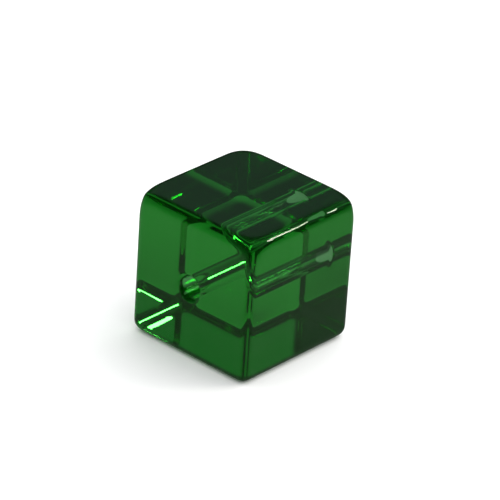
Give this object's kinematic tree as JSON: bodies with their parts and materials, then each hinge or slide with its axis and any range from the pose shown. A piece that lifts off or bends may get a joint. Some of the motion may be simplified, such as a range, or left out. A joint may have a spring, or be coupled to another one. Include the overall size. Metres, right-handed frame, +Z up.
{
  "type": "cube bead",
  "caption": "Transparent green glass cube bead with polished rounded edges, pierced by one stringing bore through its centre.",
  "frame": {"origin": "centre of the cube", "axes": "+Y along the bore, +Z up; the bead rests on its -Z face"},
  "size_m": [0.01, 0.01, 0.01],
  "materials": {
    "green_glass": "polished, transparent"
  },
  "bodies": {
    "root": {"bead": "green_glass"}
  },
  "joints": []
}
